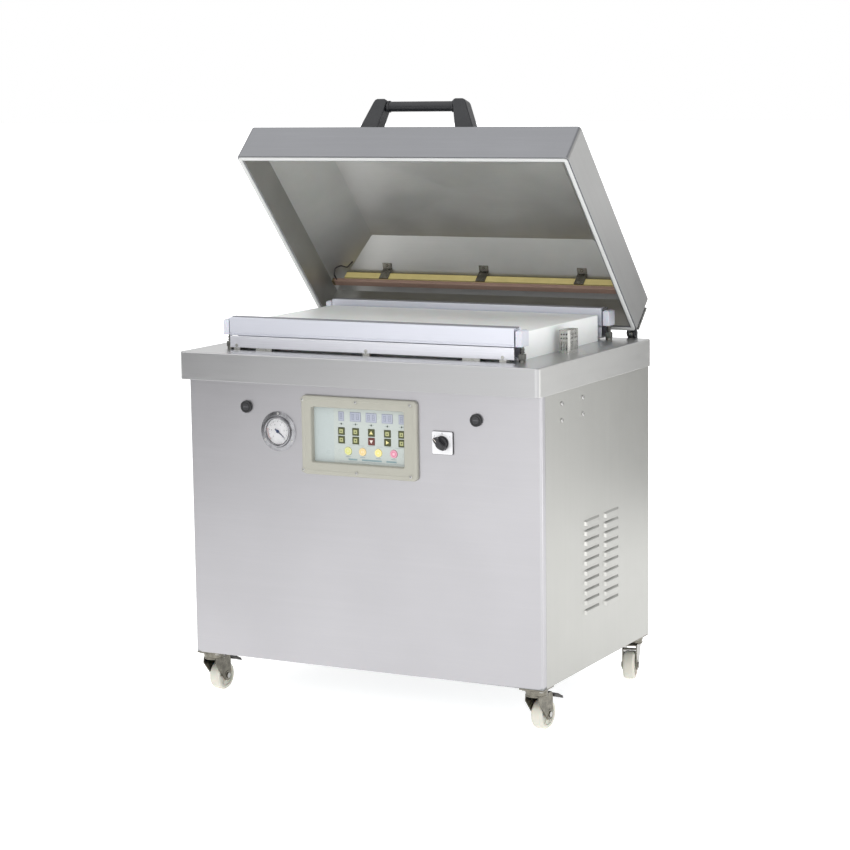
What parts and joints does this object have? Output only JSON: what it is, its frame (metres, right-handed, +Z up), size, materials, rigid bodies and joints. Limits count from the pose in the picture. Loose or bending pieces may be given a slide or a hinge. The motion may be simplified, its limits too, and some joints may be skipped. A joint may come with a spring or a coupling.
{
  "type": "vacuum packing machine",
  "caption": "Floor-standing chamber vacuum packing machine: steel cabinet on casters, hinged hip-roofed lid held open, seal bars, gauge, keypad and rotary switch.",
  "frame": {"origin": "on the floor, under the centre of the bounding box with the lid open", "axes": "+Z up, -Y towards the operator (front panel), +X to the right seen from the front"},
  "size_m": [0.85, 0.6416, 1.2873],
  "materials": {
    "brushed_skin": "fine brushed, satin",
    "inner_steel": "satin primer",
    "bright_steel": "bright",
    "zinc_steel": "zinc plated",
    "black_metal": "semi-gloss",
    "chrome_rod": "polished",
    "bar_aluminium": "anodised satin",
    "heater": "coated, satin",
    "white_plastic": "matt",
    "nylon": "semi-gloss",
    "silicone": "satin",
    "black_plastic": "satin",
    "gauge_chrome": "polished",
    "dial_white": "matt",
    "panel_beige": "fine texture",
    "panel_film": "semi-gloss",
    "switch_silver": "satin",
    "key_green": "satin",
    "key_yellow": "satin",
    "machine_paint": "semi-gloss",
    "laminated_core": "varnished",
    "hose_black": "matt",
    "fitting_brass": "plain"
  },
  "bodies": {
    "cabinet": {"cabinet_frame": "inner_steel", "front_panel": "brushed_skin", "side_panel_left": "brushed_skin", "side_panel_right": "brushed_skin", "rear_panel": "brushed_skin", "fasteners": "bright_steel", "bench_top": "brushed_skin", "filler_plate": "white_plastic", "port_cover": "bright_steel", "seal_bar_bases": "bright_steel", "rear_brackets": "black_metal", "gauge_case": "gauge_chrome", "gauge_dial": "dial_white", "switch_plate": "switch_silver", "panel_bezel": "panel_beige", "display_board": "panel_film", "caster_plates": "zinc_steel", "vacuum_pump": "machine_paint", "seal_transformer": "laminated_core", "valves_and_hose": "hose_black", "rear_fittings": "fitting_brass"},
    "lid": {"lid_shell": "brushed_skin", "lid_gasket": "silicone", "lid_handle": "black_plastic", "heater_bars": "heater", "heater_clips": "bright_steel", "heater_wires": "black_plastic", "lid_hinge_arms": "bright_steel"},
    "spring_cylinders": {"spring_cylinders": "black_metal"},
    "spring_rods": {"spring_rods": "chrome_rod"},
    "seal_bar_front": {"seal_bar_front": "bar_aluminium"},
    "seal_bar_rear": {"seal_bar_rear": "bar_aluminium"},
    "gauge_needle": {"gauge_needle": "black_plastic"},
    "switch_knob": {"switch_knob": "black_plastic"},
    "lock_left": {"lock_left": "black_plastic"},
    "lock_right": {"lock_right": "black_plastic"},
    "key_down_1": {"key_down_1": "key_green"},
    "key_down_2": {"key_down_2": "key_green"},
    "key_down_3": {"key_down_3": "key_green"},
    "key_down_4": {"key_down_4": "key_green"},
    "key_down_5": {"key_down_5": "key_green"},
    "key_round_1": {"key_round_1": "key_yellow"},
    "key_round_2": {"key_round_2": "key_yellow"},
    "key_round_3": {"key_round_3": "key_yellow"},
    "key_round_4": {"key_round_4": "key_yellow"},
    "key_up_1": {"key_up_1": "key_green"},
    "key_up_2": {"key_up_2": "key_green"},
    "key_up_3": {"key_up_3": "key_green"},
    "key_up_4": {"key_up_4": "key_green"},
    "key_up_5": {"key_up_5": "key_green"},
    "fork_front_left": {"fork_front_left": "zinc_steel"},
    "wheel_front_left": {"wheel_front_left": "nylon"},
    "pedal_front_left": {"pedal_front_left": "black_plastic"},
    "fork_front_right": {"fork_front_right": "zinc_steel"},
    "wheel_front_right": {"wheel_front_right": "nylon"},
    "pedal_front_right": {"pedal_front_right": "black_plastic"},
    "fork_rear_left": {"fork_rear_left": "zinc_steel"},
    "wheel_rear_left": {"wheel_rear_left": "nylon"},
    "fork_rear_right": {"fork_rear_right": "zinc_steel"},
    "wheel_rear_right": {"wheel_rear_right": "nylon"}
  },
  "joints": [
    {"name": "lid_hinge", "type": "hinge", "parent": "cabinet", "child": "lid", "pos_m": [0, 0.27143, 0.767], "axis": [1, 0, 0], "range_deg": [0, 46.73], "stiffness_Nm_per_rad": 11, "springref_deg": -140.37},
    {"name": "gas_spring_swing", "type": "hinge", "parent": "cabinet", "child": "spring_cylinders", "pos_m": [0, 0.30143, 0.467], "axis": [1, 0, 0], "range_deg": [-2.48, 0]},
    {"name": "gas_spring_stroke", "type": "slide", "parent": "spring_cylinders", "child": "spring_rods", "axis": [0, -0.0095, 1], "range_m": [0, 0.02948]},
    {"name": "seal_bar_front_lift", "type": "slide", "parent": "cabinet", "child": "seal_bar_front", "axis": [0, 0, 1], "range_m": [0, 0.004], "stiffness_N_per_m": 1500, "springref_m": -0.004},
    {"name": "seal_bar_rear_lift", "type": "slide", "parent": "cabinet", "child": "seal_bar_rear", "axis": [0, 0, 1], "range_m": [0, 0.004], "stiffness_N_per_m": 1500, "springref_m": -0.004},
    {"name": "gauge_needle_turn", "type": "hinge", "parent": "cabinet", "child": "gauge_needle", "pos_m": [-0.1955, -0.29327, 0.593], "axis": [0, -1, 0], "range_deg": [0, 270], "stiffness_Nm_per_rad": 0.0002, "springref_deg": -17.19},
    {"name": "switch_turn", "type": "hinge", "parent": "cabinet", "child": "switch_knob", "pos_m": [0.196, -0.29327, 0.591], "axis": [0, -1, 0], "range_deg": [-45, 45]},
    {"name": "lock_left_turn", "type": "hinge", "parent": "cabinet", "child": "lock_left", "pos_m": [-0.273, -0.29327, 0.642], "axis": [0, -1, 0], "range_deg": [-90, 0]},
    {"name": "lock_right_turn", "type": "hinge", "parent": "cabinet", "child": "lock_right", "pos_m": [0.273, -0.29327, 0.642], "axis": [0, -1, 0], "range_deg": [0, 90]},
    {"name": "key_down_1_press", "type": "slide", "parent": "cabinet", "child": "key_down_1", "axis": [0, 1, 0], "range_m": [0, 0.0008], "stiffness_N_per_m": 300, "springref_m": -0.001},
    {"name": "key_down_2_press", "type": "slide", "parent": "cabinet", "child": "key_down_2", "axis": [0, 1, 0], "range_m": [0, 0.0008], "stiffness_N_per_m": 300, "springref_m": -0.001},
    {"name": "key_down_3_press", "type": "slide", "parent": "cabinet", "child": "key_down_3", "axis": [0, 1, 0], "range_m": [0, 0.0008], "stiffness_N_per_m": 300, "springref_m": -0.001},
    {"name": "key_down_4_press", "type": "slide", "parent": "cabinet", "child": "key_down_4", "axis": [0, 1, 0], "range_m": [0, 0.0008], "stiffness_N_per_m": 300, "springref_m": -0.001},
    {"name": "key_down_5_press", "type": "slide", "parent": "cabinet", "child": "key_down_5", "axis": [0, 1, 0], "range_m": [0, 0.0008], "stiffness_N_per_m": 300, "springref_m": -0.001},
    {"name": "key_round_1_press", "type": "slide", "parent": "cabinet", "child": "key_round_1", "axis": [0, 1, 0], "range_m": [0, 0.0008], "stiffness_N_per_m": 300, "springref_m": -0.001},
    {"name": "key_round_2_press", "type": "slide", "parent": "cabinet", "child": "key_round_2", "axis": [0, 1, 0], "range_m": [0, 0.0008], "stiffness_N_per_m": 300, "springref_m": -0.001},
    {"name": "key_round_3_press", "type": "slide", "parent": "cabinet", "child": "key_round_3", "axis": [0, 1, 0], "range_m": [0, 0.0008], "stiffness_N_per_m": 300, "springref_m": -0.001},
    {"name": "key_round_4_press", "type": "slide", "parent": "cabinet", "child": "key_round_4", "axis": [0, 1, 0], "range_m": [0, 0.0008], "stiffness_N_per_m": 300, "springref_m": -0.001},
    {"name": "key_up_1_press", "type": "slide", "parent": "cabinet", "child": "key_up_1", "axis": [0, 1, 0], "range_m": [0, 0.0008], "stiffness_N_per_m": 300, "springref_m": -0.001},
    {"name": "key_up_2_press", "type": "slide", "parent": "cabinet", "child": "key_up_2", "axis": [0, 1, 0], "range_m": [0, 0.0008], "stiffness_N_per_m": 300, "springref_m": -0.001},
    {"name": "key_up_3_press", "type": "slide", "parent": "cabinet", "child": "key_up_3", "axis": [0, 1, 0], "range_m": [0, 0.0008], "stiffness_N_per_m": 300, "springref_m": -0.001},
    {"name": "key_up_4_press", "type": "slide", "parent": "cabinet", "child": "key_up_4", "axis": [0, 1, 0], "range_m": [0, 0.0008], "stiffness_N_per_m": 300, "springref_m": -0.001},
    {"name": "key_up_5_press", "type": "slide", "parent": "cabinet", "child": "key_up_5", "axis": [0, 1, 0], "range_m": [0, 0.0008], "stiffness_N_per_m": 300, "springref_m": -0.001},
    {"name": "swivel_front_left", "type": "hinge", "parent": "cabinet", "child": "fork_front_left", "pos_m": [-0.39, -0.26527, 0.084], "axis": [0, 0, 1], "continuous": true},
    {"name": "roll_front_left", "type": "hinge", "parent": "fork_front_left", "child": "wheel_front_left", "pos_m": [-0.38864, -0.23931, 0.0315], "axis": [-0.9986, 0.0523, 0], "continuous": true},
    {"name": "brake_front_left", "type": "hinge", "parent": "fork_front_left", "child": "pedal_front_left", "pos_m": [-0.38843, -0.23531, 0.068], "axis": [-0.9986, 0.0523, 0], "range_deg": [0, 14]},
    {"name": "swivel_front_right", "type": "hinge", "parent": "cabinet", "child": "fork_front_right", "pos_m": [0.39, -0.26527, 0.084], "axis": [0, 0, 1], "continuous": true},
    {"name": "roll_front_right", "type": "hinge", "parent": "fork_front_right", "child": "wheel_front_right", "pos_m": [0.39245, -0.23939, 0.0315], "axis": [-0.9956, 0.0941, 0], "continuous": true},
    {"name": "brake_front_right", "type": "hinge", "parent": "fork_front_right", "child": "pedal_front_right", "pos_m": [0.39282, -0.2354, 0.068], "axis": [-0.9956, 0.0941, 0], "range_deg": [0, 14]},
    {"name": "swivel_rear_left", "type": "hinge", "parent": "cabinet", "child": "fork_rear_left", "pos_m": [-0.39, 0.24123, 0.084], "axis": [0, 0, 1], "continuous": true},
    {"name": "roll_rear_left", "type": "hinge", "parent": "fork_rear_left", "child": "wheel_rear_left", "pos_m": [-0.38909, 0.21525, 0.0315], "axis": [0.9994, 0.0349, 0], "continuous": true},
    {"name": "swivel_rear_right", "type": "hinge", "parent": "cabinet", "child": "fork_rear_right", "pos_m": [0.39, 0.24123, 0.084], "axis": [0, 0, 1], "continuous": true},
    {"name": "roll_rear_right", "type": "hinge", "parent": "fork_rear_right", "child": "wheel_rear_right", "pos_m": [0.39611, 0.21596, 0.0315], "axis": [0.972, 0.2351, 0], "continuous": true}
  ],
  "couplings": [
    {"joint": "gas_spring_swing", "follows": "lid_hinge", "ratio": -0.052544},
    {"joint": "gas_spring_stroke", "follows": "lid_hinge", "m_per_rad": 0.0359}
  ]
}
